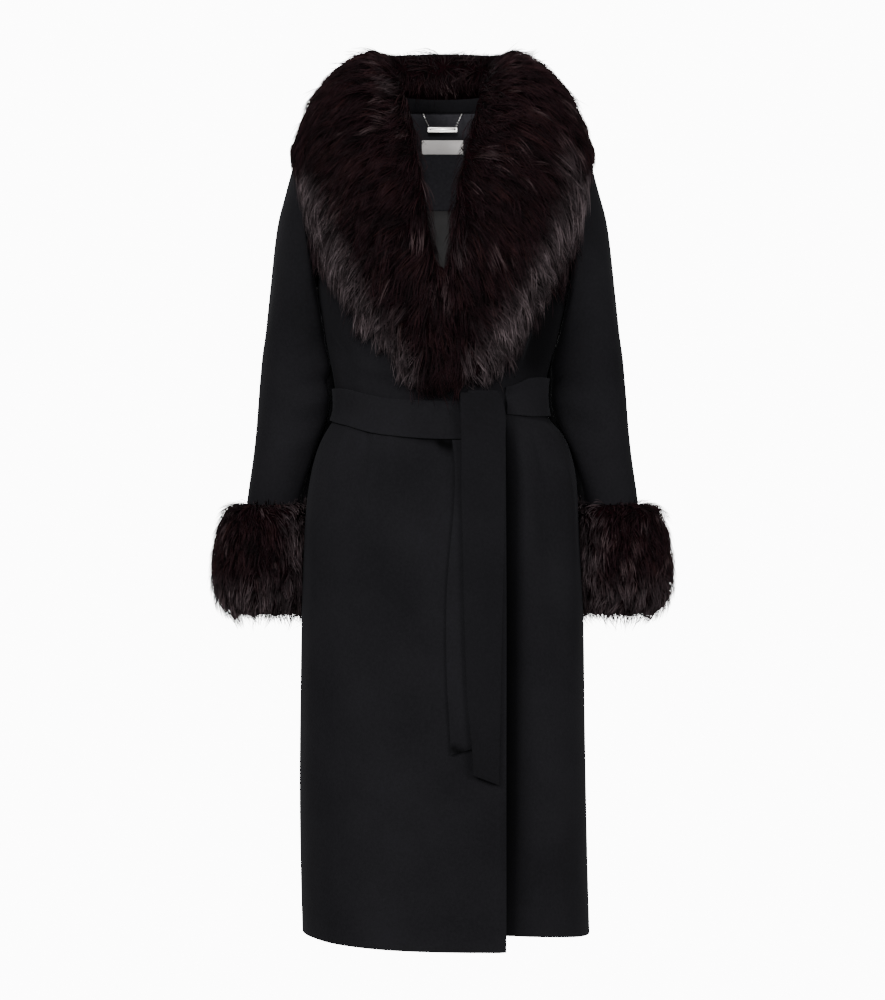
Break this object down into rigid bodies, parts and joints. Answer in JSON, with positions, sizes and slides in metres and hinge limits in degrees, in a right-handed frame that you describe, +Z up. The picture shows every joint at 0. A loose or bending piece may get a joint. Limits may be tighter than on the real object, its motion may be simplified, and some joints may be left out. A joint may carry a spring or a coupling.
{
  "type": "wrap coat",
  "caption": "Long wool wrap coat with fur shawl collar, fur cuffs and a tied self belt, hollow, in the shape it has when worn.",
  "frame": {"origin": "middle of the neck opening, level with the back neck seam, where the wearer's neck and shoulders hold the coat", "axes": "+Z up along the wearer's spine, -Y to the front, +X to the wearer's left"},
  "size_m": [0.6792, 0.351, 1.298],
  "materials": {
    "wool": "matte black double-faced wool with a soft nap",
    "fur": "long burgundy-black fur with greyer tips",
    "lining": "smooth dark grey lining",
    "label": "plain pale satin, bare",
    "metal": "bright silver"
  },
  "bodies": {
    "coat": {"back": "wool", "front_left": "wool", "front_right": "wool", "sleeve_right": "wool", "sleeve_left": "wool", "collar_stand": "wool", "back_facing": "wool", "back_lining": "lining", "neck_label": "label", "fur_collar_right": "fur", "fur_collar_back": "fur", "fur_collar_left": "fur", "fur_cuff_right": "fur", "fur_cuff_left": "fur", "belt_waist": "wool", "belt_knot": "wool", "belt_end_over": "wool", "belt_end_under": "wool"},
    "hanger": {"hanger_bar": "metal", "hanger_chain_right": "metal", "hanger_chain_left": "metal"}
  },
  "joints": [
    {"name": "hanger_swing", "type": "hinge", "parent": "coat", "child": "hanger", "pos_m": [0, 0.07, 0], "axis": [-1, 0, 0], "range_deg": [0, 95]}
  ]
}
